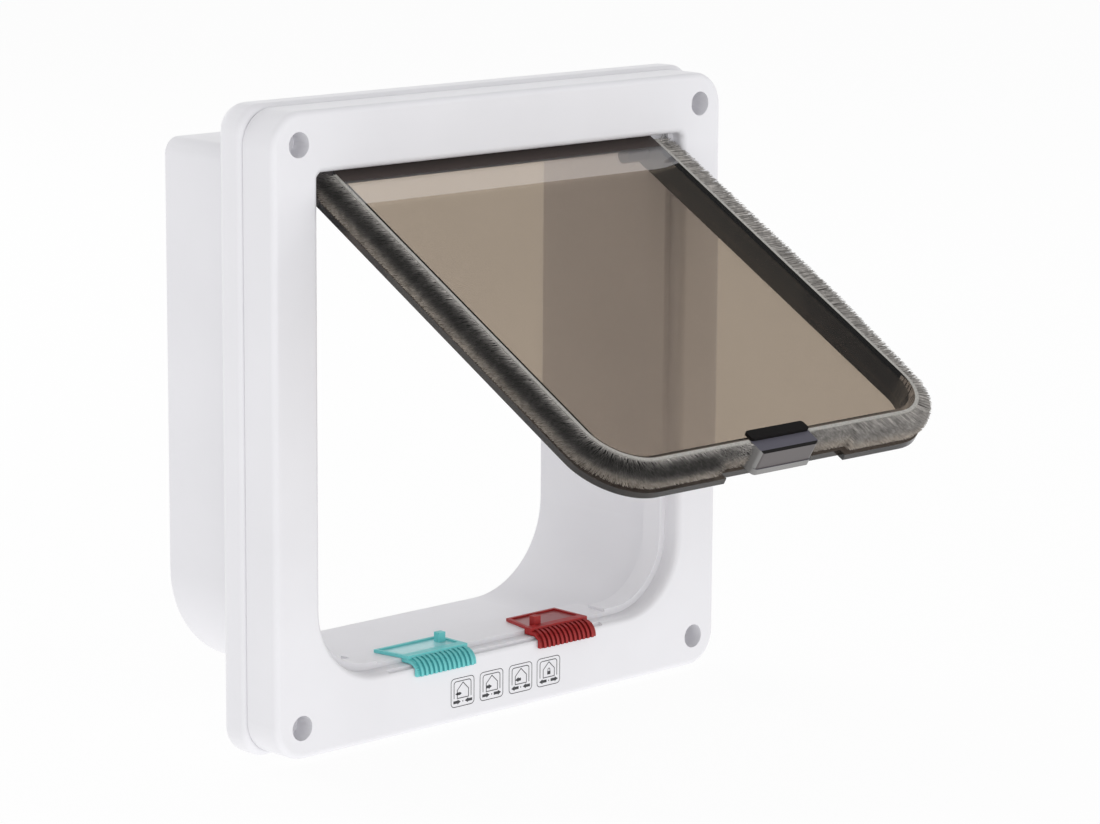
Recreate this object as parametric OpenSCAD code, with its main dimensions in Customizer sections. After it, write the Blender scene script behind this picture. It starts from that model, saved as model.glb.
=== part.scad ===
// Cat flap with a hinged smoked panel, two locking sliders and a trim ring that slides on its tunnel.
// X runs to the right, Y into the door and Z up. The origin is the middle of the four screw holes on
// the front face. The panel is drawn closed and then turned about its hinge to its open angle.

/* [Front frame] */
// Width of the frame
frame_w = 190; // [180:1:215]
// Height of the frame
frame_h = 198; // [188:1:225]
// Depth of the frame's rim
frame_depth = 14; // [12.5:0.5:17]
// Radius of the frame's corners
frame_corner_r = 11; // [8:1:16]
// Rounding of the rim's front edge
frame_edge_r = 2; // [1:0.25:3]
// Wall of the hollow rim
frame_wall = 2.4; // [1.8:0.1:3]
// Distance of the screw holes from the frame's edges
screw_inset = 10; // [9.5:0.25:11]
// Radius of the pocket for a screw's head
screw_head_r = 3.9; // [3:0.1:4.4]
// Depth of the pocket for a screw's head
screw_head_depth = 7; // [4:0.5:9]
// Radius of the hole for a screw's shank
screw_hole_r = 2.2; // [1.6:0.1:2.6]

/* [Opening] */
// Width of the frame's border beside the opening
border_side = 17.6; // [17:0.2:19]
// Height of the border above the opening
border_top = 19; // [18:0.25:20]
// Height of the border below the opening
border_foot = 21.5; // [20:0.25:22]
// Radius of the opening's lower corners
opening_corner_r = 24; // [20:1:28]
// Radius of the opening's upper corners
opening_top_r = 2; // [1:0.25:3]
// Depth of the opening in front of the ledge
ledge_y = 6.2; // [5.8:0.1:6.6]
// Width of the ledge round the opening
ledge_w = 2.4; // [2:0.1:2.6]
// Rounding of the opening's front edge
opening_edge_r = 2; // [2:0.1:2.3]

/* [Tunnel] */
// Distance of the tunnel's sides inside the frame's edges
tunnel_inset_side = 13; // [11:0.5:14]
// Distance of the tunnel's top and floor inside the frame's edges
tunnel_inset_top = 14; // [12:0.5:15]
// Place of the tunnel's far end behind the front face
tunnel_end = 67.5; // [58:0.5:90]
// Wall of the tunnel
tunnel_wall = 3; // [2:0.25:3.5]
// Outer radius of the tunnel's lower corners
tunnel_corner_r = 34; // [28:1:40]
// Outer radius of the tunnel's upper corners
tunnel_top_r = 5; // [4:0.5:8]

/* [Trim ring] */
// How far the ring stands out beside the front frame
ring_over_side = 0.7; // [-2:0.1:4]
// How far the ring stands out above and below the front frame
ring_over_top = 1.2; // [-2:0.1:5]
// Radius of the ring's corners
ring_corner_r = 8.5; // [7:0.5:11]
// Depth of the ring
ring_depth = 13; // [11:0.5:16]
// Gap between the two frames as the photo shows them
ring_gap = 0.3; // [0.2:0.1:1]
// Rounding of the ring's outer back edge
ring_back_r = 6; // [3:0.5:7]
// Rounding of the ring's outer front edge
ring_front_r = 2.2; // [1:0.2:2.6]
// Wall of the hollow ring
ring_wall = 2.6; // [2.2:0.1:3]
// Play between the ring and the tunnel
ring_play = 0.4; // [0.3:0.1:0.8]

/* [Flap] */
// Angle to which the flap stands open
open_angle = 60; // [0:1:80]
// Gap between the flap's flange and the opening's side
flap_gap_side = 5.4; // [4.9:0.1:6.4]
// Gap between the flap's lower edge and the opening's foot
flap_gap_foot = 4.5; // [4:0.1:5]
// Radius of the flap's lower corners
flap_corner_r = 20; // [18:0.5:22]
// Thickness of the see-through panel and its flange
panel_t = 2; // [1.5:0.1:2.4]
// Depth of the flap from its panel's front to its flange's back
rim_h = 10.4; // [8:0.2:10.6]
// Thickness of the flap's rim and of its round bar
rim_t = 1.8; // [1.4:0.1:2.2]
// Width of the flange beside the rim
flange_side = 4.5; // [4:0.1:5]
// Width of the flange below the rim
flange_foot = 5.5; // [5:0.1:6]
// Width of the notch in the flange's lower edge
notch_w = 51; // [46:1:52]
// Height of the notch in the flange's lower edge
notch_h = 2.3; // [2.2:0.1:2.6]
// Place of the notch's middle right of the screw holes' middle
notch_x = 1; // [0:0.25:1]

/* [Hinge] */
// Distance of the hinge line behind the front face
hinge_y = 7; // [6.8:0.1:7.4]
// Distance of the hinge line below the opening's top edge
hinge_drop = 7.5; // [7.5:0.1:8]
// Radius of the flap's round top bar
bar_r = 7.2; // [6.4:0.1:7.2]
// Radius of a hinge pin
pin_r = 1.4; // [1:0.1:1.5]
// Depth of the right hinge pin in the flap
pin_grip_right = 11; // [3:0.5:12]
// Depth of the left hinge pin in the flap
pin_grip_left = 3; // [3:0.5:12]
// Play of a hinge pin in the frame
pin_play = 0.06; // [0.03:0.01:0.1]

/* [Draught strip] */
// Thickness of the strip's backing tape
backing_t = 1.2; // [0.6:0.1:1.3]
// Reach of the brush pile from the rim
pile_reach = 6.2; // [5:0.1:6.2]
// Distance of the pile's front from the flange's back
pile_front = 10.1; // [9.5:0.1:10.2]
// Height of the pile where it is trimmed over the notch
pile_trim = 3.2; // [2:0.2:3.2]

/* [Magnets] */
// Width of the clip on the flap's rim
clip_w = 24.5; // [20:0.5:26]
// Place of the clip and both magnets left of the screw holes' middle
clip_x = 2.3; // [0:0.1:2.6]
// Radius of the clip's corners
clip_corner_r = 1.5; // [1:0.25:3]
// Wall of the clip
clip_wall = 1; // [0.8:0.1:1.3]
// Length of a bar magnet
magnet_l = 20; // [14:1:22]
// Height of a bar magnet
magnet_h = 3.4; // [2.5:0.1:3.6]
// Depth of a bar magnet in the sill
magnet_d = 5; // [4:0.25:5.25]

/* [Sill and sliders] */
// Height of the sill's flat above the tunnel's floor
sill_rise = 6; // [5.5:0.1:6.2]
// Depth of the sill behind the front face
sill_depth = 21; // [20.5:0.5:23]
// Distance of the track's ends from the opening's sides
track_inset = 27.9; // [26.4:0.1:28.4]
// Distance of the lowered lip's end from the opening's right side
lip_inset = 34.4; // [28.4:0.2:37.4]
// Thickness of the sill over its hollow
sill_wall = 2; // [1.6:0.1:2.2]
// Width of a slider
slider_w = 25; // [24:0.2:25.4]
// Distance of the teal slider's middle from the track's left end
teal_from_end = 22.5; // [22.5:0.1:24]
// Distance of the red slider's middle from the track's right end
red_from_end = 23.7; // [20.5:0.1:25]
// Depth of the teal slider's plate behind the front face
teal_depth = 16.6; // [16:0.2:18.2]
// Depth of the red slider's plate behind the front face
red_depth = 18.2; // [16:0.2:18.2]
// How far the teal slider's plate widens to the left
teal_flare = 2.2; // [0:0.2:2.2]
// How far the red slider's plate narrows on the left
red_taper = 3.4; // [0:0.2:5]
// Place of the teal slider's stop nub left of the screw holes' middle
teal_nub_x = 18; // [17.5:0.25:19.5]
// Place of the red slider's stop nub right of the screw holes' middle
red_nub_x = 19; // [17.5:0.25:19.5]
// Travel of a slider
slider_travel = 7.5; // [7:0.25:7.5]
// Number of ribs on a slider's grip
rib_count = 12; // [8:1:14]
// Height of a slider's stop nub
nub_h = 2.6; // [2.4:0.1:2.7]

/* [Hidden] */

$fn = 64;
// How far a cut runs past the face that it opens
over = 1;
// Gap between pieces that slide on or clear each other
slack = 0.3;

// What follows from the frame's size
screw_spacing_x = frame_w - 2 * screw_inset;
screw_spacing_z = frame_h - 2 * screw_inset;
opening_w = frame_w - 2 * border_side;
opening_top = frame_h / 2 - border_top;
opening_bottom = frame_h / 2 - border_foot;
tunnel_w = frame_w - 2 * tunnel_inset_side;
tunnel_h = frame_h - 2 * tunnel_inset_top;
ring_w = frame_w + 2 * ring_over_side;
ring_h = frame_h + 2 * ring_over_top;
flap_w = opening_w - 2 * flap_gap_side;
flap_bottom = opening_bottom - flap_gap_foot;
hinge_z = opening_top - hinge_drop;
track_w = opening_w - 2 * track_inset;
lip_end = opening_w / 2 - lip_inset;
teal_x = track_w / 2 - teal_from_end;
red_x = track_w / 2 - red_from_end;

// Tunnel and sill levels
floor_z = -tunnel_h / 2 + tunnel_wall;
sill_z = floor_z + sill_rise;
tunnel_half = tunnel_w / 2;
// Throat behind the ledge, as wide as the opening less the ledge on each side
throat_half = opening_w / 2 - ledge_w;
throat_bottom = opening_bottom - ledge_w;

// Rim ribs and screw bosses
rib_t = frame_wall * 2 / 3;
rib_pitch = screw_spacing_x / 4;
boss_r = screw_head_r + frame_wall / 2;
ring_boss_r = screw_hole_r + frame_wall;

// Flap, closed: the flange's back lies flange_y behind the front face and the panel's front rim_y
flange_y = hinge_y + bar_r / 2 - slack / 3;
flange_front = flange_y - panel_t;
rim_y = flange_y - rim_h;
flap_half = flap_w / 2;
rim_half = flap_half - flange_side;
rim_bottom = flap_bottom - flange_foot;
rim_corner_r = flap_corner_r - flange_side;
bar_back = hinge_y + bar_r * 2 / 7;
eye_r = pin_r * 9 / 5;
pile_mid_y = flange_y - (pile_front + panel_t) / 2;
pin_end = tunnel_half - tunnel_wall;

// Clip round the rim at the flap's lower edge
clip_half = clip_w / 2;
clip_front_y = rim_y - clip_wall;
clip_foot = flap_bottom + slack * 2;
clip_top = rim_bottom - rim_t - clip_wall;
flap_magnet_d = rim_h - panel_t - clip_wall * 2;
flap_magnet_y = rim_y + clip_wall;

// Track in the sill: its front edge is a lowered lip
lip_t = frame_wall / 2;
lip_z = -opening_bottom - slack * 3;

// Slider: a thin plate with a recess, a round grip over the lip with a core behind it, and a hook
plate_t = sill_wall * 0.55;
plate_z = sill_z + plate_t;
grip_r = sill_depth * 5 / 21;
grip_t = grip_r * 0.32;
grip_y = grip_r - grip_t - slack;
grip_top = plate_z - slack * 2;
grip_z = grip_top - grip_r;
grip_foot = grip_z - slack;
rib_h = grip_t / 3;
slider_rib_pitch = slider_w / (rib_count + 1);
plate_edge = plate_t;
core_z = -opening_bottom + slack;
nub_w = slider_w / 9;
nub_d = nub_w * 0.85;
hook_w = slider_w / 3;
hook_t = sill_wall * 0.9;
// The red nub stands in front of the closed flap's flange and the teal one behind it
red_nub_y = flange_front - slack - nub_d;
teal_nub_y = flange_y + slack;

// Draws a depth-thick plate of a drawing made in the XZ plane, with its front face at y = front
module plate(front, depth)
  translate([0, front + depth, 0]) rotate([90, 0, 0]) linear_extrude(depth) children();

// Outline with its own radius at the two upper and the two lower corners
module outline(half, top, bottom, top_r, bottom_r) {
  translate([-half, -bottom + bottom_r]) square([2 * half, top + bottom - top_r - bottom_r]);
  translate([-half + top_r, top - 2 * top_r]) square([2 * (half - top_r), 2 * top_r]);
  translate([-half + bottom_r, -bottom]) square([2 * (half - bottom_r), bottom_r + over]);
  for (side = [-1, 1]) {
    translate([side * (half - top_r), top - top_r]) circle(top_r);
    translate([side * (half - bottom_r), -bottom + bottom_r]) circle(bottom_r);
  }
}

// Runs a section round an outline: its x points out of the outline and its y is the depth
module run_round(half, top, bottom, top_r, bottom_r) {
  for (side = [0, 1]) mirror([side, 0, 0]) {
    translate([half, 0, -bottom + bottom_r]) linear_extrude(top + bottom - top_r - bottom_r) children();
    translate([half - bottom_r, 0, -bottom + bottom_r]) quarter(bottom_r) children();
    mirror([0, 0, 1]) translate([half - top_r, 0, -top + top_r]) quarter(top_r) children();
  }
  translate([-half + bottom_r, 0, -bottom]) rotate([0, 90, 0])
    linear_extrude(2 * (half - bottom_r)) children();
  translate([half - top_r, 0, top]) rotate([0, -90, 0]) linear_extrude(2 * (half - top_r)) children();
}

// A quarter turn of a section, from pointing right to pointing down
module quarter(radius)
  rotate([-90, 0, 0]) rotate_extrude(angle = 90) translate([radius, 0]) children();

// What a rounding takes off an outer edge whose corner is at the origin, with the solid at -x, +y
module edge_cut(radius) difference() {
  translate([-radius, -over]) square(radius + over);
  translate([-radius, radius]) circle(radius);
}

// The same for an inner edge, with the solid at +x, +y
module inner_edge_cut(radius) mirror([1, 0]) edge_cut(radius);

// The four screw places
module at_screws()
  for (x = [-1, 1], z = [-1, 1]) translate([x * screw_spacing_x / 2, 0, z * screw_spacing_z / 2]) children();

// A rod along Y from one depth to another
module rod_y(radius, from, to)
  translate([0, from, 0]) rotate([-90, 0, 0]) cylinder(r = radius, h = to - from);

// A rod along X from one place to another, on the hinge line
module hinge_rod(radius, from, to)
  translate([from, hinge_y, hinge_z]) rotate([0, 90, 0]) cylinder(r = radius, h = to - from);

// Tunnel outline, grown or shrunk alike on all sides
module tunnel_outline(grow = 0)
  outline(tunnel_half + grow, tunnel_h / 2 + grow, tunnel_h / 2 + grow,
    tunnel_top_r + grow, tunnel_corner_r + grow);

// Ribs that brace the hollow of a frame between its rim and the tunnel
module frame_ribs(front, depth) {
  side_w = tunnel_inset_side;
  foot_h = tunnel_inset_top;
  for (place = [-1.5 : 1 : 1.5], side = [0, 1]) {
    mirror([0, 0, side]) translate([place * rib_pitch - rib_t / 2, front, tunnel_h / 2])
      cube([rib_t, depth, foot_h]);
    mirror([side, 0, 0]) translate([tunnel_half, front, place * rib_pitch - rib_t / 2])
      cube([side_w, depth, rib_t]);
  }
}

// Rim of the front frame: a rounded plate, hollow from behind
module frame_rim() difference() {
  plate(0, frame_depth) outline(frame_w / 2, frame_h / 2, frame_h / 2, frame_corner_r, frame_corner_r);
  run_round(frame_w / 2, frame_h / 2, frame_h / 2, frame_corner_r, frame_corner_r) edge_cut(frame_edge_r);
  difference() {
    plate(frame_wall, frame_depth)
      outline(frame_w / 2 - frame_wall, frame_h / 2 - frame_wall, frame_h / 2 - frame_wall,
        frame_corner_r - frame_wall, frame_corner_r - frame_wall);
    plate(0, frame_depth + over) tunnel_outline();
    at_screws() rod_y(boss_r, 0, frame_depth + over);
    frame_ribs(0, frame_depth - frame_wall);
  }
}

// The opening, the throat behind its ledge and the tunnel's hollow
module passage() {
  plate(-over, ledge_y + over)
    outline(opening_w / 2, opening_top, opening_bottom, opening_top_r, opening_corner_r);
  run_round(opening_w / 2, opening_top, opening_bottom, opening_top_r, opening_corner_r)
    inner_edge_cut(opening_edge_r);
  plate(ledge_y - over, frame_depth)
    outline(throat_half, opening_top, throat_bottom, opening_top_r, opening_corner_r - ledge_w);
  plate(frame_depth, tunnel_end) tunnel_outline(-tunnel_wall);
}

// The sliders' track: the ledge is cut away to the sill's flat, with a lowered lip in front
module track() {
  translate([-track_w / 2, ledge_y - over, sill_z]) cube([track_w, frame_depth, sill_rise]);
  translate([-track_w / 2, -over, lip_z]) cube([track_w / 2 + lip_end, lip_t + 2 * over, sill_rise]);
}

// Hollows under the sill's flat, open to the tunnel, and the slots for the sliders' hooks
module sill_hollows() {
  for (side = [0, 1]) mirror([side, 0, 0])
    translate([magnet_l / 2 + clip_x + sill_wall, frame_depth - sill_wall, floor_z])
      cube([track_w / 2 - magnet_l / 2 - clip_x - sill_wall * 2, sill_depth, sill_rise - sill_wall]);
  hook_slot(-teal_x - slider_travel, teal_depth);
  hook_slot(red_x, red_depth);
}

// Slot for the hook of a slider whose middle starts at x, or comes to it, under a plate that ends at y = back
module hook_slot(x, back)
  translate([x - hook_w / 2 - slack, back - hook_t - slack, floor_z])
    cube([hook_w + slider_travel + 2 * slack, hook_t + 2 * slack, sill_rise + over]);

module front_frame() color("whitesmoke") difference() {
  union() {
    difference() {
      union() {
        frame_rim();
        plate(frame_wall, tunnel_end - frame_wall) tunnel_outline();
      }
      passage();
    }
    // Sill behind the throat
    intersection() {
      translate([-track_w / 2 - sill_wall, frame_depth - over, floor_z - tunnel_wall / 2])
        cube([track_w + 2 * sill_wall, sill_depth - frame_depth + over, sill_rise + tunnel_wall / 2]);
      plate(0, tunnel_end) tunnel_outline(-tunnel_wall / 2);
    }
    // Cheeks that carry the hinge pins in front of the ledge
    for (side = [0, 1]) mirror([side, 0, 0])
      translate([throat_half, hinge_y - eye_r, hinge_z - eye_r])
        cube([ledge_w + sill_wall, eye_r * 2, opening_top - hinge_z + eye_r + opening_edge_r]);
  }
  track();
  sill_hollows();
  at_screws() {
    rod_y(screw_head_r, -over, screw_head_depth);
    rod_y(screw_hole_r, 0, frame_depth + over);
  }
  for (side = [0, 1]) mirror([side, 0, 0])
    hinge_rod(pin_r + pin_play, throat_half - over, pin_end + slack);
  // Pocket for the sill magnet and its plug
  translate([-clip_x - magnet_l / 2 - slack / 3, frame_depth - magnet_d, floor_z + slack / 3])
    cube([magnet_l + slack * 2 / 3, sill_depth, magnet_h + slack * 2 / 3]);
}

module rear_frame() color("whitesmoke") translate([0, frame_depth + ring_gap, 0]) difference() {
  plate(0, ring_depth) outline(ring_w / 2, ring_h / 2, ring_h / 2, ring_corner_r, ring_corner_r);
  run_round(ring_w / 2, ring_h / 2, ring_h / 2, ring_corner_r, ring_corner_r) edge_cut(ring_front_r);
  run_round(ring_w / 2, ring_h / 2, ring_h / 2, ring_corner_r, ring_corner_r)
    translate([0, ring_depth]) mirror([0, 1]) edge_cut(ring_back_r);
  difference() {
    plate(-over, ring_depth - ring_wall + over)
      outline(ring_w / 2 - ring_wall, ring_h / 2 - ring_wall, ring_h / 2 - ring_wall,
        ring_corner_r - ring_wall, ring_corner_r - ring_wall);
    plate(-over * 2, ring_depth + over * 3) tunnel_outline(ring_play + ring_wall);
    at_screws() rod_y(ring_boss_r, -over, ring_depth);
    frame_ribs(ring_wall, ring_depth);
  }
  plate(-over, ring_depth + 2 * over) tunnel_outline(ring_play);
  at_screws() rod_y(screw_hole_r, -over, ring_depth + over);
}

module sill_magnet() color("dimgray")
  translate([-clip_x - magnet_l / 2, frame_depth - magnet_d, floor_z + slack / 3])
    cube([magnet_l, magnet_d, magnet_h]);

module magnet_plug() color("whitesmoke")
  translate([-clip_x - magnet_l / 2 - slack / 3, frame_depth, floor_z + slack / 3])
    cube([magnet_l + slack * 2 / 3, sill_depth - frame_depth, magnet_h + slack * 2 / 3]);

// Turns what is drawn on the closed flap to the angle at which it stands open
module opened()
  translate([0, hinge_y, hinge_z]) rotate([-open_angle, 0, 0]) translate([0, -hinge_y, -hinge_z]) children();

// The flap below the hinge line: a panel in front, a rim behind its edge and a flange round the rim's back
module flap_tray() {
  difference() {
    rim_solid(0, rim_y, rim_h);
    rim_solid(-rim_t, rim_y + panel_t, rim_h);
  }
  difference() {
    plate(flange_front, panel_t) below_hinge()
      outline(flap_half, hinge_z + flap_corner_r, flap_bottom, slack, flap_corner_r);
    rim_solid(-rim_t, rim_y, rim_h + over);
  }
}

// A block of the rim's outline up to the hinge line
module rim_solid(grow, front, depth)
  plate(front, depth) below_hinge()
    outline(rim_half + grow, hinge_z + rim_corner_r, rim_bottom + grow, slack, rim_corner_r + grow);

// Keeps what lies below the hinge line of a drawing of the flap
module below_hinge() intersection() {
  children();
  translate([-flap_half, -flap_bottom]) square([flap_w, flap_bottom + hinge_z]);
}

// The round shell above the hinge line, flush with the panel, open at the back and with closed ends
module flap_bar() intersection() {
  translate([-rim_half, rim_y, hinge_z - slack]) cube([2 * rim_half, rim_h, bar_r * 2]);
  difference() {
    hinge_rod(bar_r, -rim_half, rim_half);
    hinge_rod(bar_r - rim_t, -rim_half + rim_t, rim_half - rim_t);
    translate([-rim_half + rim_t, bar_back, hinge_z - bar_r])
      cube([2 * (rim_half - rim_t), bar_r, bar_r * 3]);
  }
}

module flap_panel() color("#5a4a40") opened() difference() {
  union() {
    flap_tray();
    flap_bar();
    for (side = [0, 1]) mirror([side, 0, 0]) hinge_rod(eye_r, rim_half - pin_grip(side), flap_half);
  }
  for (side = [0, 1]) mirror([side, 0, 0])
    hinge_rod(pin_r, rim_half - pin_grip(side) + rim_t, flap_half + over);
  translate([notch_x - notch_w / 2, flange_front - over, -flap_bottom - over])
    cube([notch_w, panel_t + 2 * over, notch_h + over]);
}

module hinge_pin(side) color("silver") opened() mirror([side, 0, 0])
  hinge_rod(pin_r, rim_half - pin_grip(side) + rim_t, pin_end);

// Depth of the pin in the flap on the right, which is side 0, or on the left
function pin_grip(side) = side == 0 ? pin_grip_right : pin_grip_left;

// Where a strip ends beside the clip, right of the middle on side 0 or left of it
function strip_end(side) = clip_half + slack + (side == 0 ? -clip_x : clip_x);

// Runs a section down the right of the rim, round its corner and along the foot as far as the given end
module strip_run(end) difference() {
  union() {
    translate([rim_half, 0, -rim_bottom + rim_corner_r])
      linear_extrude(hinge_z + rim_bottom - rim_corner_r) children();
    translate([rim_half - rim_corner_r, 0, -rim_bottom + rim_corner_r]) quarter(rim_corner_r) children();
    translate([end, 0, -rim_bottom]) rotate([0, 90, 0])
      linear_extrude(rim_half - rim_corner_r - end) children();
  }
  // Room for the hinge eye
  hinge_rod(eye_r + slack, rim_half - over, flap_half + pile_reach);
}

module strip_backing(side) color("#c8c6be") opened() mirror([side, 0, 0])
  strip_run(strip_end(side)) translate([0, rim_y]) square([backing_t, rim_h - panel_t]);

module strip_pile(side) color("#8a8a84") opened() mirror([side, 0, 0]) difference() {
  strip_run(strip_end(side)) intersection() {
    translate([0, pile_mid_y]) circle(pile_reach);
    translate([backing_t, flange_y - pile_front]) square([pile_reach, pile_front - panel_t - slack]);
  }
  // Trimmed over the notch, so that the sliders' nubs pass under it
  translate([0, -pile_front, -rim_bottom - pile_trim - pile_reach])
    cube([notch_w / 2 + notch_x + nub_w, 3 * pile_front, pile_reach]);
}

// A thin plate over the panel's edge and a block under the rim, which holds the magnet
module magnet_clip() color("#6a6068") opened() difference() {
  union() {
    plate(clip_front_y, clip_wall) clip_outline(rim_bottom + clip_wall, clip_wall);
    plate(rim_y, rim_h - panel_t) clip_outline(clip_foot, clip_corner_r);
    // Lip along the block's back edge
    plate(flange_front - clip_wall * 2, clip_wall * 2) clip_outline(clip_foot + slack, clip_corner_r);
  }
  // Room for the rim and its panel
  translate([-clip_w, rim_y, -rim_bottom]) cube([2 * clip_w, rim_h, flange_foot]);
  // Bevel between the block's front and foot
  translate([0, rim_y, -clip_foot]) rotate([45, 0, 0])
    cube([2 * clip_w, clip_wall, clip_wall], center = true);
  translate([-clip_x - magnet_l / 2, flap_magnet_y, -rim_bottom - magnet_h])
    cube([magnet_l, flap_magnet_d, magnet_h + over]);
}

// The clip's outline from its top to the given foot
module clip_outline(foot, radius)
  translate([-clip_x, 0]) outline(clip_half, -clip_top, foot, clip_wall, radius);

module flap_magnet() color("dimgray") opened()
  translate([-clip_x - magnet_l / 2, flap_magnet_y, -rim_bottom - magnet_h])
    cube([magnet_l, flap_magnet_d, magnet_h]);

// Section of a slider's grip, in the YZ plane, with its skin at the given radius
module grip_section(radius) difference() {
  union() {
    intersection() {
      translate([grip_y, grip_z]) circle(radius);
      translate([grip_y - radius, grip_z]) square([radius, radius]);
    }
    translate([grip_y - radius, grip_foot]) square([radius, grip_z - grip_foot]);
  }
  translate([grip_y, grip_z]) circle(grip_r - grip_t);
  translate([grip_y - grip_r + grip_t, grip_foot - over]) square([grip_r * 2, grip_z - grip_foot + over]);
  // Room for the lip and for the rounded edge beyond its end
  translate([-slack, grip_foot - over]) square([lip_t + 2 * slack, lip_z + slack - grip_foot + over]);
  translate([opening_edge_r, -opening_bottom - opening_edge_r]) circle(opening_edge_r + slack);
}

// What fills the grip down to the opening's foot
module grip_core() intersection() {
  translate([grip_y, grip_z]) circle(grip_r - rib_h);
  translate([grip_y - grip_r, core_z]) square([grip_r, grip_r]);
}

// Extrudes a YZ section along X
module along_x(from, length)
  translate([from, 0, 0]) rotate([90, 0, 90]) linear_extrude(length) children();

// A slider centred on x = 0: its plate ends at y = back and widens by flare to the left there
module slider(back, flare, nub_place, nub_front) {
  // Grip with its ribs and its core, which runs back as far as the ledge
  along_x(-slider_w / 2, slider_w) grip_section(grip_r - rib_h);
  along_x(-slider_w / 2, slider_w) grip_core();
  translate([-slider_w / 2, grip_y - slack, core_z])
    cube([slider_w, ledge_y - grip_y, plate_z - core_z]);
  for (i = [0 : rib_count - 1])
    along_x(-slider_w / 2 + (i + 0.75) * slider_rib_pitch, slider_rib_pitch / 2) grip_section(grip_r);
  // Plate with its recess
  difference() {
    translate([0, 0, sill_z + slack / 3]) linear_extrude(plate_t - slack / 3) slider_plate(back, flare, 0);
    translate([0, 0, sill_z + plate_t / 2]) linear_extrude(plate_t) slider_plate(back, flare, plate_edge);
  }
  // Nub
  translate([nub_place - nub_w / 2, nub_front, plate_z - plate_t]) cube([nub_w, nub_d, nub_h + plate_t]);
  // Hook under the sill's flat
  translate([-hook_w / 2, back - hook_t, floor_z + sill_wall])
    cube([hook_w, hook_t, sill_rise - sill_wall + plate_t / 2]);
  translate([-hook_w / 2, back - hook_t * 2, floor_z + sill_wall])
    cube([hook_w, hook_t * 2, sill_rise - 2 * sill_wall - slack]);
}

// Outline of a slider's plate from above, shrunk by an edge
module slider_plate(back, flare, edge)
  polygon([[-slider_w / 2 + edge, grip_y + edge], [slider_w / 2 - edge, grip_y + edge],
    [slider_w / 2 - edge, back - edge], [-slider_w / 2 - flare + edge, back - edge]]);

module teal_slider() color("#46b8b4") translate([-teal_x, 0, 0])
  slider(teal_depth, teal_flare, teal_x - teal_nub_x, teal_nub_y);

module red_slider() color("#b0202a") translate([red_x, 0, 0])
  slider(red_depth, -red_taper, red_nub_x - red_x, red_nub_y);

front_frame();
rear_frame();
sill_magnet();
magnet_plug();
flap_panel();
magnet_clip();
flap_magnet();
strip_backing(1);  // strip_backing_left
strip_backing(0);  // strip_backing_right
strip_pile(1);  // strip_pile_left
strip_pile(0);  // strip_pile_right
hinge_pin(1);  // hinge_pin_left
hinge_pin(0);  // hinge_pin_right
teal_slider();
red_slider();
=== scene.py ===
import math
import random

import bpy
from mathutils import Matrix, Vector

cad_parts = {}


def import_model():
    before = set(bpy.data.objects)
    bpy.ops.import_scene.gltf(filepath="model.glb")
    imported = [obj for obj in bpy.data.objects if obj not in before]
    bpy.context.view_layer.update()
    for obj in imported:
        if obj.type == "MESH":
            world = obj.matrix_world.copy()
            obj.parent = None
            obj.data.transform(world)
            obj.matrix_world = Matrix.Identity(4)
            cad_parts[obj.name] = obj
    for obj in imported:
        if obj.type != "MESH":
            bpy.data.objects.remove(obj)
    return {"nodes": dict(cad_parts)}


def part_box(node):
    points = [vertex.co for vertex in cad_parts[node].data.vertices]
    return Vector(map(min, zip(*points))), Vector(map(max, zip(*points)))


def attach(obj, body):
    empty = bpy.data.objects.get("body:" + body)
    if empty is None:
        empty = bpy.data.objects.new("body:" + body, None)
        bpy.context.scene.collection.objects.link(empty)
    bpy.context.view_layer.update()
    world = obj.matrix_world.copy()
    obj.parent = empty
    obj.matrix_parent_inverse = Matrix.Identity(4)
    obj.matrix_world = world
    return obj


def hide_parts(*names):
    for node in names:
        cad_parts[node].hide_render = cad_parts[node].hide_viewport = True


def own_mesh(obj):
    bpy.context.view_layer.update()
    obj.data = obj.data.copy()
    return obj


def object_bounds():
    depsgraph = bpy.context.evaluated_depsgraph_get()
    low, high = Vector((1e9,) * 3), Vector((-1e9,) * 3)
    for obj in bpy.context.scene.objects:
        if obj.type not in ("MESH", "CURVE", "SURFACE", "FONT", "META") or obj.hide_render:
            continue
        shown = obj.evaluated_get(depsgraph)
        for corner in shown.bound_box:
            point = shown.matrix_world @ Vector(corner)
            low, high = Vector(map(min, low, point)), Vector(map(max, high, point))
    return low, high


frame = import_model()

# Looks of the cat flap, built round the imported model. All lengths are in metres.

CAD_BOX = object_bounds()
MM = 0.001
random.seed(7)

# Sizes that part.scad gives the flap, drawn closed and then turned open about its hinge
HINGE = Vector((0, 7 * MM, 72.5 * MM))
OPEN_ANGLE = math.radians(60)
PANEL_T = 2 * MM
RIM_Y = 0.1 * MM
RIM_HALF = 67.5 * MM
RIM_BOTTOM = 67.5 * MM
RIM_CORNER_R = 15.5 * MM
EYE_R = 2.52 * MM
# Lower edge of the dark bar as it is seen through the panel
BAR_FOOT = 68.6 * MM
# Front of the lip along the clip's back
LIP_Y = 6.6 * MM

# Draught strips: their top ends, their ends beside the clip on the right (1) and left (-1), their tape,
# and the pile's reach from the rim, which is trimmed in the middle of the lower edge
STRIP_TOP = 72.5 * MM
STRIP_ENDS = {1: 10.25 * MM, -1: 14.85 * MM}
BACKING_T = 1.2 * MM
PILE_REACH = 6.2 * MM
PILE_TRIM = 3.2 * MM
TRIM_HALF = 28.4 * MM
SIDE_RUN = STRIP_TOP + RIM_BOTTOM - RIM_CORNER_R
ARC_RUN = RIM_CORNER_R * math.pi / 2

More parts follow.
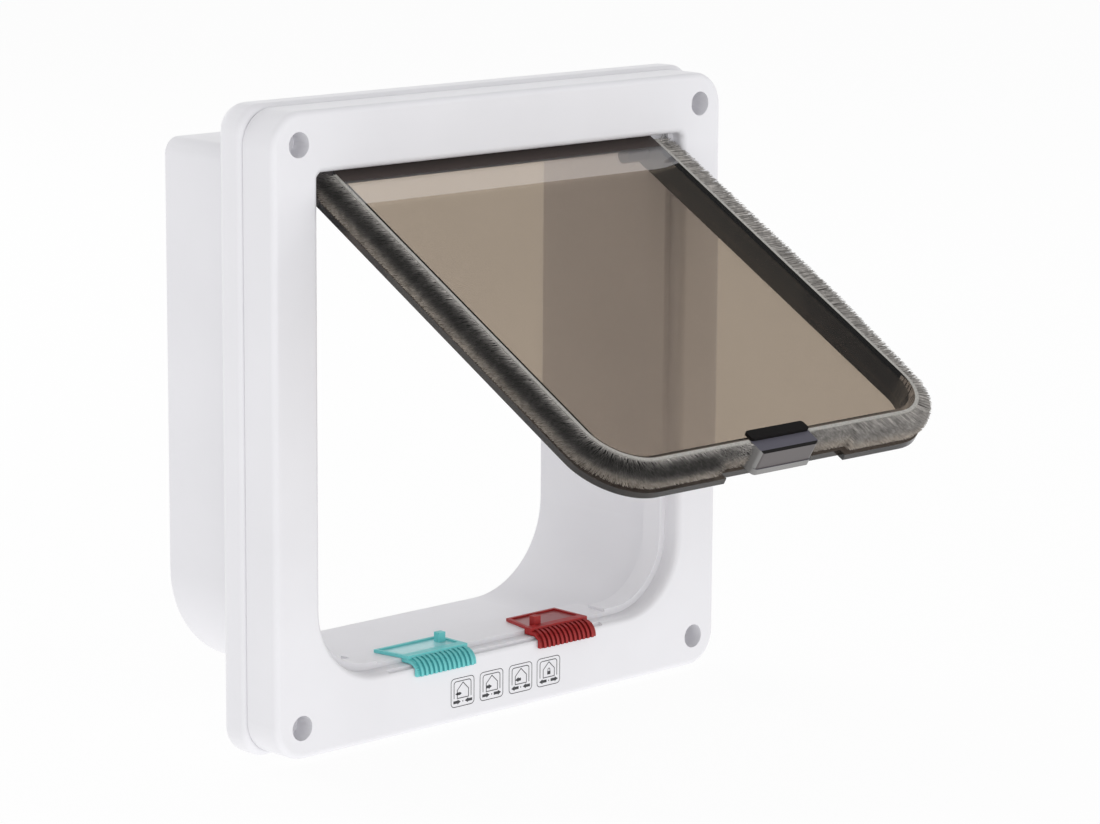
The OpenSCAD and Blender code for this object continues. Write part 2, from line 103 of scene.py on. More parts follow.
# Sliders: the floor of the plate's recess, and the round grip with its ribs
SLIDER_FLOOR = -75.45 * MM
GRIP_R = 5 * MM
GRIP_PLAY = 0.1 * MM
RIB_H = 0.53 * MM

OPENED = Matrix.Translation(HINGE) @ Matrix.Rotation(-OPEN_ANGLE, 4, "X") @ Matrix.Translation(-HINGE)
CLOSED = OPENED.inverted()


# Materials

def node_maker(tree):
    "A function that adds a node to the tree and sets its inputs by their names, with _ for a space."

    def node(kind, **inputs):
        made = tree.nodes.new(kind)
        set_inputs(made, **inputs)
        return made

    return node


def set_inputs(target, **inputs):
    "Sets a node's inputs by their names, with _ for a space."
    for key, value in inputs.items():
        target.inputs[key.replace("_", " ")].default_value = value


def start_material(name):
    "A new node material: (material, node maker, link maker, its Principled node)."
    mat = bpy.data.materials.new(name)
    mat.use_nodes = True
    tree = mat.node_tree
    return mat, node_maker(tree), tree.links.new, tree.nodes["Principled BSDF"]


def position(node):
    "Places in the object's own frame, in metres."
    return node("ShaderNodeTexCoord").outputs["Object"]


def noise(node, link, where, scale, detail=3.0, stretch=None):
    "Noise at so many features a metre, stretched along the axes if asked."
    if stretch:
        mapping = node("ShaderNodeMapping", Scale=stretch)
        link(where, mapping.inputs["Vector"])
        where = mapping.outputs["Vector"]
    made = node("ShaderNodeTexNoise", Scale=scale, Detail=detail)
    link(where, made.inputs["Vector"])
    return made.outputs["Fac"]


def ramp(node, link, value, *stops):
    "Colours at places of a value: each stop is (place, (r, g, b))."
    made = node("ShaderNodeValToRGB")
    while len(made.color_ramp.elements) < len(stops):
        made.color_ramp.elements.new(0.5)
    for element, (place, colour) in zip(made.color_ramp.elements, stops):
        element.position = place
        element.color = (*colour, 1)
    link(value, made.inputs["Fac"])
    return made.outputs["Color"]


def darker(colour, share):
    "The colour at a share of its brightness."
    return [c * share for c in colour]


def bump(node, link, shader, height, strength, depth):
    "Gives a shader small dents and rises from a height value."
    made = node("ShaderNodeBump", Strength=strength, Distance=depth)
    link(height, made.inputs["Height"])
    link(made.outputs["Normal"], shader.inputs["Normal"])


def feed(link, value, socket):
    "Gives a node's input a number or another node's output."
    if isinstance(value, (int, float)):
        socket.default_value = value
    else:
        link(value, socket)


def blend(node, link, first, second, share):
    "Two shaders mixed, with a share of the second one."
    mix = node("ShaderNodeMixShader")
    feed(link, share, mix.inputs["Fac"])
    link(first, mix.inputs[1])
    link(second, mix.inputs[2])
    return mix.outputs["Shader"]


def set_surface(mat, output):
    "Makes a shader's output the surface of the material."
    tree = mat.node_tree
    tree.links.new(output, tree.nodes["Material Output"].inputs["Surface"])


def moulded(name, colour, roughness, shade=0.96, shine=0.5):
    "Moulded plastic: a slow drift of shade, a fine grain and a patchy gloss."
    mat, node, link, shader = start_material(name)
    where = position(node)
    drift = noise(node, link, where, scale=22)
    link(ramp(node, link, drift, (0.3, darker(colour, shade)), (0.7, colour)), shader.inputs["Base Color"])
    gloss = node("ShaderNodeMapRange", To_Min=roughness * 0.85, To_Max=roughness * 1.15)
    link(noise(node, link, where, scale=90), gloss.inputs["Value"])
    link(gloss.outputs["Result"], shader.inputs["Roughness"])
    set_inputs(shader, Specular_IOR_Level=shine)
    grain = noise(node, link, where, scale=1800)
    bump(node, link, shader, grain, strength=0.25, depth=0.02 * MM)
    return mat


def smoked(name, colour, lamp_tint, coat=0.0, dark_bar=None):
    "See-through smoked plastic. Rays from lamps pass through it tinted, so its shadow is a pale brown."
    mat, node, link, shader = start_material(name)
    where = position(node)
    drift = noise(node, link, where, scale=14)
    link(ramp(node, link, drift, (0.35, darker(colour, 0.97)), (0.65, colour)), shader.inputs["Base Color"])
    set_inputs(shader, Transmission_Weight=1, IOR=1.55, Roughness=0.03, Coat_Weight=coat, Coat_IOR=1.9)
    waves = noise(node, link, where, scale=30, detail=1)
    bump(node, link, shader, waves, strength=0.04, depth=0.3 * MM)
    clear = node("ShaderNodeBsdfTransparent", Color=(*lamp_tint, 1))
    from_lamp = node("ShaderNodeLightPath").outputs["Is Shadow Ray"]
    last = blend(node, link, shader.outputs["BSDF"], clear.outputs["BSDF"], from_lamp)
    if dark_bar:
        last = dark_band(node, link, where, last, dark_bar)
    set_surface(mat, last)
    return mat


def dark_band(node, link, where, below, colour):
    "The thick bar behind the panel's top, which shows through it as one dark band above the bar's foot."
    solid = node("ShaderNodeBsdfPrincipled", Base_Color=(*colour, 1), Roughness=0.2)
    up = OPENED.to_3x3() @ Vector((0, 0, 1))
    height = node("ShaderNodeVectorMath")
    height.operation = "DOT_PRODUCT"
    height.inputs[1].default_value = up
    link(where, height.inputs[0])
    above = node("ShaderNodeMath")
    above.operation = "GREATER_THAN"
    above.inputs[1].default_value = HINGE.dot(up) + BAR_FOOT - HINGE.z
    link(height.outputs["Value"], above.inputs[0])
    return blend(node, link, below, solid.outputs["BSDF"], above.outputs["Value"])


def woven(name, colour):
    "Backing tape: fine crossing threads."
    mat, node, link, shader = start_material(name)
    threads = node("ShaderNodeTexVoronoi", Scale=1700)
    link(position(node), threads.inputs["Vector"])
    height = threads.outputs["Distance"]
    link(ramp(node, link, height, (0.1, colour), (0.8, darker(colour, 0.7))), shader.inputs["Base Color"])
    set_inputs(shader, Roughness=0.85)
    bump(node, link, shader, height, strength=0.5, depth=0.08 * MM)
    return mat


def brush(name):
    "Brush fibres: each fibre's own colour, which the mesh carries, under a coarse and a fine mottling."
    mat, node, link, shader = start_material(name)
    where = position(node)
    tint = node("ShaderNodeAttribute")
    tint.attribute_name = "tint"
    last = tint.outputs["Color"]
    for scale, low, high in ((160, 0.8, 1.05), (620, 0.75, 1.2)):
        mottle = ramp(node, link, noise(node, link, where, scale), (0.33, (low,) * 3), (0.67, (high,) * 3))
        mix = node("ShaderNodeMix")
        mix.data_type = "RGBA"
        mix.blend_type = "MULTIPLY"
        set_inputs(mix, Factor=1)
        link(last, mix.inputs["A"])
        link(mottle, mix.inputs["B"])
        last = mix.outputs["Result"]
    link(last, shader.inputs["Base Color"])
    set_inputs(shader, Roughness=0.8, Specular_IOR_Level=0.2)
    return mat


def metal(name, colour, roughness, metallic=1.0):
    "Drawn metal: fine streaks of shade along X."
    mat, node, link, shader = start_material(name)
    streaks = noise(node, link, position(node), scale=900, stretch=(0.2, 1, 1))
    link(ramp(node, link, streaks, (0.3, darker(colour, 0.8)), (0.7, colour)), shader.inputs["Base Color"])
    set_inputs(shader, Metallic=metallic, Roughness=roughness)
    bump(node, link, shader, streaks, strength=0.2, depth=0.02 * MM)
    return mat


BAR_COLOUR = (0.062, 0.048, 0.044)
white = moulded("white_plastic", (0.82, 0.815, 0.845), 0.38)
panel = smoked("smoked_panel", (0.50, 0.41, 0.32), (0.25, 0.21, 0.18), coat=1.0, dark_bar=BAR_COLOUR)
rim = smoked("smoked_rim", (0.06, 0.048, 0.04), (0.25, 0.22, 0.2))
bar = moulded("smoked_bar", BAR_COLOUR, 0.2, 0.85)
# Black plastic of the clip's plate, also put on the bevel under the block's front as painted shade
clip_black_and_painted_shade = moulded("clip_black_and_painted_shade", (0.008, 0.007, 0.007), 0.4, 0.8, shine=0.1)
# Painted reflection: the clip's front faces are painted a lighter lavender grey
clip_front_painted_reflection = moulded("clip_front_painted_reflection", (0.13, 0.125, 0.155), 0.25, 0.8)
clip_foot = moulded("clip_foot", (0.095, 0.083, 0.083), 0.3, 0.85)
# Painted highlight: the clip's lip and sides are painted lighter than its foot
clip_lip_and_sides_painted_light = moulded("clip_lip_and_sides_painted_light", (0.24, 0.235, 0.23), 0.2, 0.8)
teal = moulded("teal_plastic", (0.16, 0.62, 0.625), 0.42, 0.94)
# Painted light: the floor of the slider's recess is painted paler than the slider
teal_floor_painted_light = moulded("teal_recess_painted_light", (0.38, 0.72, 0.75), 0.25, 0.94)
# Painted shade: the grooves between the grip's ribs are painted darker than the slider
teal_groove_painted_shade = moulded("teal_grooves_painted_shade", (0.09, 0.44, 0.46), 0.5, 0.9)
red = moulded("red_plastic", (0.38, 0.013, 0.013), 0.5, 0.92)
# Painted light: the floor of the slider's recess is painted paler than the slider
red_floor_painted_light = moulded("red_recess_painted_light", (0.30, 0.065, 0.067), 0.3, 0.92, shine=0.25)
# Painted shade: the grooves between the grip's ribs are painted darker than the slider
red_groove_painted_shade = moulded("red_grooves_painted_shade", (0.20, 0.008, 0.008), 0.5, 0.9)
tape = woven("tape", (0.50, 0.485, 0.455))
fibres = brush("brush_pile")
steel = metal("steel", (0.6, 0.6, 0.62), 0.25)
ferrite = metal("ferrite", (0.13, 0.125, 0.15), 0.4, 0.3)
ink = moulded("print_ink", (0.04, 0.04, 0.045), 0.55, 0.9)


# Colours of the CAD pieces

def paint_node(name, *materials):
    "Puts materials on a CAD piece, in the order that its faces count them."
    mesh = frame["nodes"][name].data
    mesh.materials.clear()
    for mat in materials:
        mesh.materials.append(mat)


def paint_faces(name, materials, choose):
    "Gives a CAD piece several materials, face by face."
    paint_node(name, *materials)
    for face in frame["nodes"][name].data.polygons:
        face.material_index = choose(face)


PLAIN_PIECES = (
    (white, ("front_frame", "rear_frame", "magnet_plug")),
    (steel, ("hinge_pin_left", "hinge_pin_right")),
    (ferrite, ("sill_magnet", "flap_magnet")),
    (tape, ("strip_backing_left", "strip_backing_right")))
for material, names in PLAIN_PIECES:
    for name in names:
        paint_node(name, material)

# Slack in places, and the share of a face's normal along an axis: square to it, nearly so, or leaning
SLACK = 0.1 * MM
SQUARE = 0.99
NEARLY = 0.9
LEANING = 0.5


def part_of_flap(face):
    "0 the panel's two faces, 1 rim and flange, which look nearly black edge on, 2 the bar and its eyes."
    centre = CLOSED @ face.center
    if centre.z > HINGE.z or (centre - HINGE).yz.length < EYE_R * 1.05:
        return 2
    flat = abs((CLOSED.to_3x3() @ face.normal).y) > SQUARE
    return 0 if flat and centre.y < RIM_Y + PANEL_T + SLACK else 1


def part_of_clip(face):
    "0 the plate on the panel, the bevel and the inside, 1 the block's front, 2 its foot, 3 lip and sides."
    centre = CLOSED @ face.center
    normal = CLOSED.to_3x3() @ face.normal
    # Painted shade: the bevel under the block's front takes the black material as a shaded edge
    bevel = abs(normal.y - normal.z) < 0.1 and abs(normal.y) > LEANING
    if centre.z > -RIM_BOTTOM - SLACK * 5 or centre.y < RIM_Y - SLACK or bevel:
        return 0
    if normal.y < -NEARLY:
        return 1
    return 3 if centre.y > LIP_Y or abs(normal.x) > LEANING else 2


def part_of_slider(name):
    "Chooses 1 for the floor of the plate's recess, 2 for the grooves between the ribs, 0 for all else."
    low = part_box(name)[0]
    axis_y = low.y + GRIP_R
    axis_z = low.z + GRIP_PLAY
    faces = frame["nodes"][name].data.polygons
    sides = [face.center.x for face in faces if abs(face.normal.x) > NEARLY and face.center.y < 0]

    def choose(face):
        x, y, z = face.center
        if face.normal.z > SQUARE and abs(z - SLIDER_FLOOR) < SLACK:
            return 1
        if y > axis_y or not min(sides) + RIB_H < x < max(sides) - RIB_H:
            return 0
        # Painted shade: faces deep in the grooves and the ribs' side faces take the darker groove material
        deep = math.hypot(y - axis_y, max(0, z - axis_z)) < GRIP_R - RIB_H * 0.7
        return 2 if abs(face.normal.x) > NEARLY or deep and z < low.z + GRIP_R else 0

    return choose


paint_faces("flap_panel", (panel, rim, bar), part_of_flap)
paint_faces("magnet_clip", (clip_black_and_painted_shade, clip_front_painted_reflection, clip_foot, clip_lip_and_sides_painted_light), part_of_clip)
paint_faces("teal_slider", (teal, teal_floor_painted_light, teal_groove_painted_shade), part_of_slider("teal_slider"))
paint_faces("red_slider", (red, red_floor_painted_light, red_groove_painted_shade), part_of_slider("red_slider"))


def add_mesh(name, vertices, faces, material, body, smooth=False):
    "A new piece of one material that rides on a body."
    mesh = bpy.data.meshes.new(name)
    mesh.from_pydata(vertices, [], faces)
    mesh.materials.append(material)
    mesh.update()
    if smooth:
        mesh.shade_smooth()
    made = bpy.data.objects.new(name, mesh)
    bpy.context.scene.collection.objects.link(made)
    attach(made, body)
    return made


# Brush pile

# Front and back edge of the pile at its tips
PILE_FRONT = 0.2 * MM
PILE_BACK = 8.2 * MM
PILE_MID = (PILE_BACK + PILE_FRONT) / 2
PILE_HALF = (PILE_BACK - PILE_FRONT) / 2

# Tufts along the strip and rows of fibres across it. A fibre's foot stands inside the tape.
TUFT_PITCH = 0.4 * MM
TUFT_ROWS = 22
FIBRE_R = 0.14 * MM
FIBRE_FOOT = BACKING_T * 0.6

# Share of its reach that the pile keeps at its back edge
BACK_SHARE = 0.36

# Sideways lean of the fibres over the hinge eye and beside the clip, and the lengths in which it fades
EYE_FAN = 4 * MM
EYE_FAN_RUN = 6 * MM
CLIP_FAN = 4.5 * MM
CLIP_FAN_RUN = 5 * MM

# The pile is frayed and pale beside the clip: fully for a share of a length, and fading in the rest of it
FRAYED_RUN = 14 * MM
FRAYED_SHARE = 0.3
FRAYED_TIP = 0.34

# The core's rings, how far it reaches of the pile, and how dark it is: it is painted shade deep in the pile
CORE_STEP = 1 * MM
CORE_POINTS = 9
CORE_FOOT = BACKING_T * 0.5
CORE_REACH = 0.7
CORE_WIDTH = 0.9
CORE_SHADE = 0.6

# Albedo of the pile's tips and roots from the front (-1) to the back (1), with painted light and shade:
# pale in front where the pile is lit, dark in the middle where it is shaded, and tan at the back
LEFT_TIPS = ((-1, 0.055), (-0.8, 0.058), (-0.5, 0.065), (-0.3, 0.085), (0, 0.19), (0.3, 0.40), (1, 0.43))
LEFT_ROOTS = ((-1, 0.8), (-0.8, 0.5), (-0.5, 0.16), (1, 0.08))
RIGHT_TIPS = ((-1, 0.46), (-0.8, 0.38), (-0.4, 0.34), (0, 0.40), (0.3, 0.50), (1, 0.45))
RIGHT_ROOTS = ((-1, 0.55), (-0.6, 0.45), (1, 0.30))


def strip_place(s):
    "Place on the rim at a length s from the top end of the right strip: (x, z, outward x, outward z)."
    if s < SIDE_RUN:
        return RIM_HALF, STRIP_TOP - s, 1.0, 0.0
    if s < SIDE_RUN + ARC_RUN:
        a = (s - SIDE_RUN) / RIM_CORNER_R
        cx, cz = RIM_HALF - RIM_CORNER_R, -RIM_BOTTOM + RIM_CORNER_R
        return cx + RIM_CORNER_R * math.cos(a), cz - RIM_CORNER_R * math.sin(a), math.cos(a), -math.sin(a)
    left = s - SIDE_RUN - ARC_RUN
    return RIM_HALF - RIM_CORNER_R - left, -RIM_BOTTOM, 0.0, -1.0


def level(x, *places):
    "Straight steps between (place, value) pairs."
    for (x0, v0), (x1, v1) in zip(places, places[1:]):
        if x <= x1:
            return v0 + (v1 - v0) * max(0, x - x0) / (x1 - x0)
    return places[-1][1]


def tinted(albedo, across):
    "Grey in front, tan at the back."
    warm = level(across, (-0.3, 0.0), (0.4, 1.0))
    return albedo, albedo * (0.95 - 0.06 * warm), albedo * (0.90 - 0.12 * warm), 1.0


class Pile:
    """Brush pile along one stretch of a strip: tapered fibres on a dark core, which is painted shade deep in
    the pile.

    side is 1 for the right strip and -1 for the left one. fuller is what the fibres gain along the rim's
    side, and front_share the share of its reach that the pile keeps at its front edge. start and end are
    lengths along the strip, and end is the strip's own end if none is given.
    """

    def __init__(self, side, fuller, front_share, tips, roots, start=0.0, end=None):
        self.side, self.fuller, self.front_share = side, fuller, front_share
        self.tips, self.roots = tips, roots
        self.total = SIDE_RUN + ARC_RUN + RIM_HALF - RIM_CORNER_R - STRIP_ENDS[side]
        self.start = start
        self.run = (end or self.total) - start
        self.vertices, self.faces, self.tints = [], [], []
        self.fibres()
        self.core()

    def reach(self, s, x):
        "How far the pile stands out of the rim: fuller along the side, trimmed over the notch."
        if s > SIDE_RUN + ARC_RUN and abs(x) < TRIM_HALF:
            return PILE_TRIM
        if s >= SIDE_RUN:
            return PILE_REACH
        t = s / SIDE_RUN
        return PILE_REACH + self.fuller * min(1, 0.7 + t * 5) * min(1, (1 - t) * 3)

    def fan(self, s):
        "Sideways lean of the fibres at the ends of a strip."
        over_eye = EYE_FAN * max(0, 1 - s / EYE_FAN_RUN)
        beside_clip = CLIP_FAN * max(0, 1 - (self.total - s) / CLIP_FAN_RUN)
        return over_eye - beside_clip

    def albedo(self, s, across):
        "Albedo of a fibre's root and tip."
        frayed = min(1, max(0, 1 + FRAYED_SHARE - (self.total - s) / FRAYED_RUN))
        tip = level(across, *self.tips) * (1 - frayed) + FRAYED_TIP * frayed
        return level(across, *self.roots), tip

    def fibres(self):
        "Rows of fibres in clumps, each of which leans one way and has its own brightness."
        count = int(self.run / TUFT_PITCH)
        for i in range(count):
            clump = random.uniform(-0.12, 0.12)
            for row in range(TUFT_ROWS):
                s = self.start + (i + random.random()) * self.run / count
                across = -1 + 2 * (row + random.random()) / TUFT_ROWS
                self.fibre(s, across, clump)

    def fibre(self, s, across, clump):
        "One tapered, slightly bent fibre, which ends on the pile's round profile."
        x, z, ox, oz = strip_place(s)
        reach = self.reach(s, x) * (1 + random.uniform(-0.1, 0.05))
        profile = math.sqrt(max(0, 1 - (across * 0.95) ** 2))
        edge_share = self.front_share if across < 0 else BACK_SHARE
        out = BACKING_T + (reach - BACKING_T) * (edge_share + (1 - edge_share) * profile)
        foot_y = PILE_MID + across * PILE_HALF * 0.96
        tip_y = PILE_MID + across * PILE_HALF
        lean = random.gauss(0, 0.3) * MM + self.fan(s) * random.uniform(-0.1, 1)
        turn = random.uniform(0, 6.28)
        vary = 1 + random.uniform(-0.25, 0.25) + clump
        root, tip = (albedo * vary for albedo in self.albedo(s, across))
        dx, dz = -oz, ox
        along = Vector((self.side * dx, 0, dz))
        base = len(self.vertices)
        for share, radius, albedo in ((0.0, 1.0, root), (0.5, 0.95, (root + 2 * tip) / 3), (1.0, 0.45, tip)):
            u = FIBRE_FOOT + (out - FIBRE_FOOT) * share
            v = lean * share ** 2 + clump * MM * share
            y = foot_y + (tip_y - foot_y) * share
            middle = Vector((self.side * (x + ox * u + dx * v), y, z + oz * u + dz * v))
            self.triangle(middle, along, FIBRE_R * radius, turn, tinted(albedo, across))
        self.skin(base, 3, 3)
        self.faces.append((base + 6, base + 7, base + 8))

    def triangle(self, middle, along, radius, turn, tint):
        "Three corners round a point of a fibre."
        for corner in range(3):
            a = turn + corner * 2 * math.pi / 3
            spot = middle + along * (radius * math.cos(a)) + Vector((0, radius * math.sin(a), 0))
            self.vertices.append(OPENED @ spot)
            self.tints.append(tint)

    def skin(self, base, rings, points):
        "Faces between rings of points, the first of which starts at base."
        for first in range(base, base + (rings - 1) * points, points):
            second = first + points
            for k in range(points):
                b = (k + 1) % points
                self.faces.append((first + k, first + b, second + b, second + k))

    def core(self):
        """A dark core, painted as the shade deep in the pile, which keeps light from passing between the
        fibres.
        """
        steps = int(self.run / CORE_STEP)
        base = len(self.vertices)
        for i in range(steps + 1):
            s = self.start + self.run * i / steps
            x, z, ox, oz = strip_place(min(s, self.total - 1e-6))
            for k in range(CORE_POINTS):
                across = -1 + 2 * k / (CORE_POINTS - 1)
                u = CORE_FOOT
                if 0 < k < CORE_POINTS - 1:
                    swell = math.sqrt(1 - across ** 2 * 0.8)
                    u = BACKING_T + (self.reach(s, x) - BACKING_T) * CORE_REACH * swell
                y = PILE_MID + across * PILE_HALF * CORE_WIDTH
                self.vertices.append(OPENED @ Vector((self.side * (x + ox * u), y, z + oz * u)))
                self.tints.append(tinted(level(across, *self.tips) * CORE_SHADE, across))
        self.skin(base, steps + 1, CORE_POINTS)
        self.faces.append(tuple(base + k for k in range(CORE_POINTS)))
        self.faces.append(tuple(base + steps * CORE_POINTS + k for k in reversed(range(CORE_POINTS))))

    def finish(self, name, replaced):
        "The stretch as a piece that takes the place of a CAD piece."
        made = add_mesh(name, self.vertices, self.faces, fibres, "flap", smooth=True)
        attribute = made.data.attributes.new("tint", "FLOAT_COLOR", "POINT")
        attribute.data.foreach_set("color", [value for tint in self.tints for value in tint])
        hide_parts(replaced)
        return made


RIGHT_STRIP = (1, 3.8 * MM, 0.72, RIGHT_TIPS, RIGHT_ROOTS)
LEFT_STRIP = (-1, 0.5 * MM, 0.5, LEFT_TIPS, LEFT_ROOTS)

Pile(*RIGHT_STRIP, start=SIDE_RUN).finish("brush_right_foot", "strip_pile_right")
# The right side's long fibres are a piece of their own, with a mesh of its own
side_pile = Pile(*RIGHT_STRIP, end=SIDE_RUN).finish("brush_right_side", "strip_pile_right")
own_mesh(side_pile)
Pile(*LEFT_STRIP).finish("brush_left", "strip_pile_left")


# Pictograms on the front face

LINE = 0.16 * MM
PRINT_Y = -0.03 * MM
PRINT_BOTTOM = -93.9 * MM
PRINT_TOP = -84.7 * MM
CORNER_STEPS = 5
# Half width of an arrow's head, as a share of the head's length
BARB = 0.62


class Print:
    "Flat print just proud of the front face, drawn in a unit square that covers one pictogram."

    def __init__(self, name, left, right):
        self.name, self.left = name, left
        self.width, self.height = right - left, PRINT_TOP - PRINT_BOTTOM
        self.vertices, self.faces = [], []

    def at(self, u, v):
        "The place of a point of the unit square."
        return Vector((self.left + u * self.width, PRINT_Y, PRINT_BOTTOM + v * self.height))

    def solid(self, outline):
        "A filled shape, given clockwise or not, as a thin plate down to the face."
        base, n = len(self.vertices), len(outline)
        self.vertices += [self.at(u, v) for u, v in outline]
        self.vertices += [self.at(u, v) + Vector((0, -PRINT_Y * 1.5, 0)) for u, v in outline]
        self.faces.append(tuple(range(base, base + n)))
        for i in range(n):
            j = (i + 1) % n
            self.faces.append((base + i, base + n + i, base + n + j, base + j))

    def box(self, left, right, bottom, top):
        "A filled upright rectangle."
        self.solid([(left, bottom), (right, bottom), (right, top), (left, top)])

    def line(self, points, closed=False, width=LINE):
        "A stroke along points, mitred at its corners."
        spots = [self.at(u, v) for u, v in points]
        n = len(spots)
        left, right = [], []
        for i, spot in enumerate(spots):
            before = spots[i - 1] if closed or i else spot
            after = spots[(i + 1) % n] if closed or i < n - 1 else spot
            d0 = (spot - before).normalized() if (spot - before).length else (after - spot).normalized()
            d1 = (after - spot).normalized() if (after - spot).length else d0
            mean = (d0 + d1).normalized()
            side = Vector((mean.z, 0, -mean.x)) * (width / max(0.4, mean.dot(d0)))
            left.append(spot + side)
            right.append(spot - side)
        base = len(self.vertices)
        self.vertices += left + right
        for i in range(n if closed else n - 1):
            j = (i + 1) % n
            self.faces.append((base + i, base + j, base + n + j, base + n + i))

    def arrow(self, tail, tip, v, head=0.14, thick=0.05):
        "A level arrow from tail to tip at height v."
        neck = tip - head if tip > tail else tip + head
        barb = head * BARB
        self.solid([(tail, v - thick), (neck, v - thick), (neck, v - barb), (tip, v), (neck, v + barb),
                    (neck, v + thick), (tail, v + thick)])

    def finish(self):
        "The pictogram as a piece on the frame."
        made = add_mesh(self.name, self.vertices, self.faces, ink, "frame")
        return made


def rounded(left, right, bottom, top, radius, open_foot=False):
    "Points of a rounded rectangle, clockwise from the lower left. An open foot has square corners."
    points = []
    for u, v, first in ((left, bottom, 270), (left, top, 180), (right, top, 90), (right, bottom, 0)):
        if open_foot and v == bottom:
            points.append((u, v))
            continue
        cu = u + radius if u == left else u - radius
        cv = v + radius if v == bottom else v - radius
        for k in range(CORNER_STEPS + 1):
            a = math.radians(first - 90 * k / CORNER_STEPS)
            points.append((cu + radius * math.cos(a), cv + radius * math.sin(a)))
    return points


def house(art):
    "The pictogram's frame, the arch of the opening and the house in it."
    art.line(rounded(0, 1, 0, 1, 0.14), closed=True, width=LINE * 0.75)
    art.line(rounded(0.13, 0.87, 0.30, 0.89, 0.1, open_foot=True), width=LINE * 0.85)
    walls = [(0.27, 0.29), (0.27, 0.58), (0.52, 0.83), (0.76, 0.58), (0.76, 0.29)]
    art.line(walls, closed=True, width=LINE * 0.85)


def padlock(art):
    "The sign of the pictogram for a locked flap."
    art.box(0.45, 0.59, 0.38, 0.50)
    shackle = [(0.475, 0.50), (0.475, 0.565), (0.50, 0.60), (0.54, 0.60), (0.565, 0.565), (0.565, 0.50)]
    art.line(shackle, width=LINE * 0.7)


def slider_arrows(art, first, second, foot=0.165):
    "The arrows at the foot, which say where the teal and the red slider go, with a dot between them."
    art.arrow(*((0.10, 0.42) if first == "right" else (0.42, 0.10)), foot)
    art.arrow(*((0.60, 0.92) if second == "right" else (0.92, 0.60)), foot)
    art.box(0.49, 0.53, foot - 0.02, foot + 0.02)


def pictogram(name, left, right, sign, first, second):
    "One pictogram: the house with its sign, and the arrows of both sliders. The ends are in millimetres."
    art = Print(name, left * MM, right * MM)
    house(art)
    if sign == "both":
        art.arrow(0.33, 0.19, 0.45, head=0.07)
        art.arrow(0.33, 0.47, 0.45, head=0.09)
    elif sign == "in":
        art.arrow(0.27, 0.52, 0.45)
    elif sign == "out":
        art.arrow(0.52, 0.27, 0.45)
    else:
        padlock(art)
    slider_arrows(art, first, second)
    art.finish()


pictogram("print_in_and_out", -24.0, -14.2, "both", "right", "left")
pictogram("print_in_only", -11.6, -1.7, "in", "right", "right")
pictogram("print_out_only", 1.0, 11.0, "out", "left", "left")
pictogram("print_locked", 13.3, 23.4, "lock", "left", "right")


# Floor, surroundings, lamps and camera

FLOOR_HALF = 6.0
FLOOR_GAP = 0.5 * MM
# How much more light the floor gives the object than it shows the camera
FLOOR_BOUNCE = 1.18
# Light of the surroundings on the object from in front, and its share from behind
AMBIENT = 0.7
BEHIND = 0.7
# Brightness of the ceiling that the plastics mirror
CEILING = 0.06


def stage_material(name, glow_share):
    "Pale floor: nearly white to look at, with a faint shadow, and a reflector for the object's lower half."
    mat, node, link, shader = start_material(name)
    set_inputs(shader, Base_Color=(0.92, 0.92, 0.92, 1), Roughness=0.9)
    glow = node("ShaderNodeEmission")
    power = node("ShaderNodeMapRange", To_Min=1, To_Max=FLOOR_BOUNCE)
    link(node("ShaderNodeLightPath").outputs["Is Diffuse Ray"], power.inputs["Value"])
    link(power.outputs["Result"], glow.inputs["Strength"])
    set_surface(mat, blend(node, link, shader.outputs["BSDF"], glow.outputs["Emission"], glow_share))
    return mat


def floor():
    "A wide square just below the object."
    z = CAD_BOX[0][2] - FLOOR_GAP
    corners = [(x * FLOOR_HALF, y * FLOOR_HALF, z) for x, y in ((-1, -1), (1, -1), (1, 1), (-1, 1))]
    mesh = bpy.data.meshes.new("floor")
    mesh.from_pydata(corners, [], [(0, 1, 2, 3)])
    mesh.materials.append(stage_material("floor_pale", 0.94))
    made = bpy.data.objects.new("floor", mesh)
    bpy.context.scene.collection.objects.link(made)


def choice(node, link, ray, strength, otherwise):
    "A strength for one kind of ray, and another one for all others."
    mix = node("ShaderNodeMix")
    mix.data_type = "FLOAT"
    link(ray, mix.inputs["Factor"])
    feed(link, otherwise, mix.inputs["A"])
    feed(link, strength, mix.inputs["B"])
    return mix.outputs["Result"]


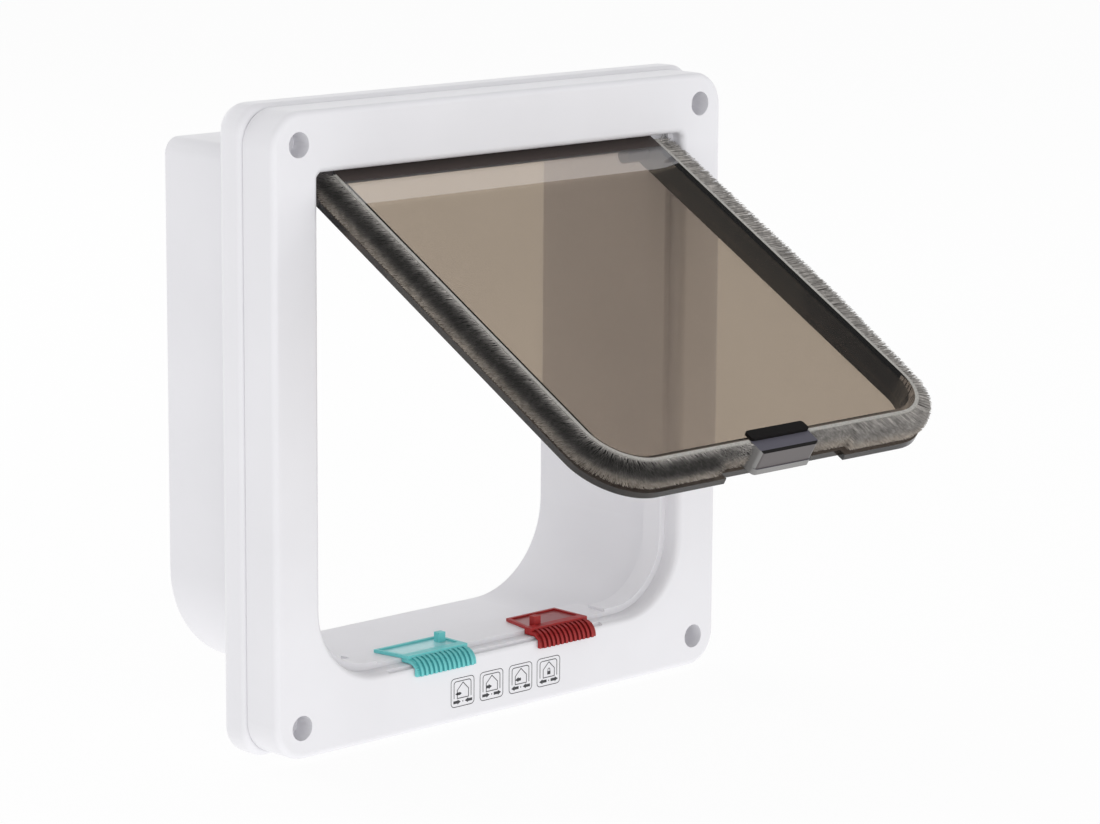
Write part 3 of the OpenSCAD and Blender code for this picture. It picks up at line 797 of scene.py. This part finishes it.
def world():
    "White near the horizon, and a dark ceiling that the clear plastic mirrors. It lights the front more."
    made = bpy.data.worlds.new("studio")
    bpy.context.scene.world = made
    made.use_nodes = True
    tree = made.node_tree
    node = node_maker(tree)
    link = tree.links.new
    path = node("ShaderNodeLightPath")
    way = node("ShaderNodeSeparateXYZ")
    link(node("ShaderNodeTexCoord").outputs["Generated"], way.inputs["Vector"])
    mirrored = node("ShaderNodeMapRange", From_Min=0.42, From_Max=0.62, To_Min=1, To_Max=CEILING)
    link(way.outputs["Z"], mirrored.inputs["Value"])
    ambient = node("ShaderNodeMapRange", From_Min=-0.3, From_Max=0.5, To_Min=AMBIENT, To_Max=AMBIENT * BEHIND)
    link(way.outputs["Y"], ambient.inputs["Value"])
    lit, dark = ambient.outputs["Result"], mirrored.outputs["Result"]
    unseen = choice(node, link, path.outputs["Is Diffuse Ray"], lit, dark)
    strength = choice(node, link, path.outputs["Is Camera Ray"], 1, unseen)
    background = tree.nodes["Background"]
    set_inputs(background, Color=(1, 1, 1, 1))
    link(strength, background.inputs["Strength"])


def lamp(name, place, target, size, power):
    "A round lamp that points at the target. The smoked panel doesn't mirror it, so it stays brown all round."
    data = bpy.data.lights.new(name, "AREA")
    data.shape = "DISK"
    data.size = size
    data.energy = power
    made = bpy.data.objects.new(name, data)
    made.location = place
    made.rotation_euler = (Vector(target) - Vector(place)).to_track_quat("-Z", "Y").to_euler()
    made.visible_glossy = False
    bpy.context.scene.collection.objects.link(made)


floor()
world()
MIDDLE = (0, 0, 0)
lamp("key", (-0.9, -1.6, 0.4), MIDDLE, 1.4, 6.6)
lamp("fill", (1.3, -1.4, 0.1), MIDDLE, 1.4, 2.4)
lamp("top", (0.1, 0.5, 1.8), MIDDLE, 1.2, 4)
lamp("back", (-0.12, 1.5, 0.9), MIDDLE, 1.2, 9)

# The photograph's camera, from the fit of the screw holes and edges to it: its focal length and the
# photograph's width in pixels, its sensor's width in millimetres, its angles and its place
FOCAL_PX = 3893.6
PHOTO_W = 1100
SENSOR_W = 36
YAW = math.radians(43.852)
PITCH = math.radians(10.890)
ROLL = math.radians(0.361)
CAMERA_PLACE = Vector((-822.95, -875.71, 229.19)) * MM


def camera():
    "The photograph's view."
    data = bpy.data.cameras.new("camera")
    data.sensor_width = SENSOR_W
    data.lens = FOCAL_PX / PHOTO_W * SENSOR_W
    data.clip_start = 0.05
    made = bpy.data.objects.new("camera", data)
    ahead = Vector((math.sin(YAW) * math.cos(PITCH), math.cos(YAW) * math.cos(PITCH), -math.sin(PITCH)))
    sideways = Vector((math.cos(YAW), -math.sin(YAW), 0))
    right = math.cos(ROLL) * sideways + math.sin(ROLL) * sideways.cross(ahead)
    up = right.cross(ahead)
    turned = Matrix((right, up, -ahead)).transposed().to_4x4()
    made.matrix_world = Matrix.Translation(CAMERA_PLACE) @ turned
    bpy.context.scene.collection.objects.link(made)
    bpy.context.scene.camera = made


camera()
bpy.context.scene.view_settings.view_transform = "Standard"
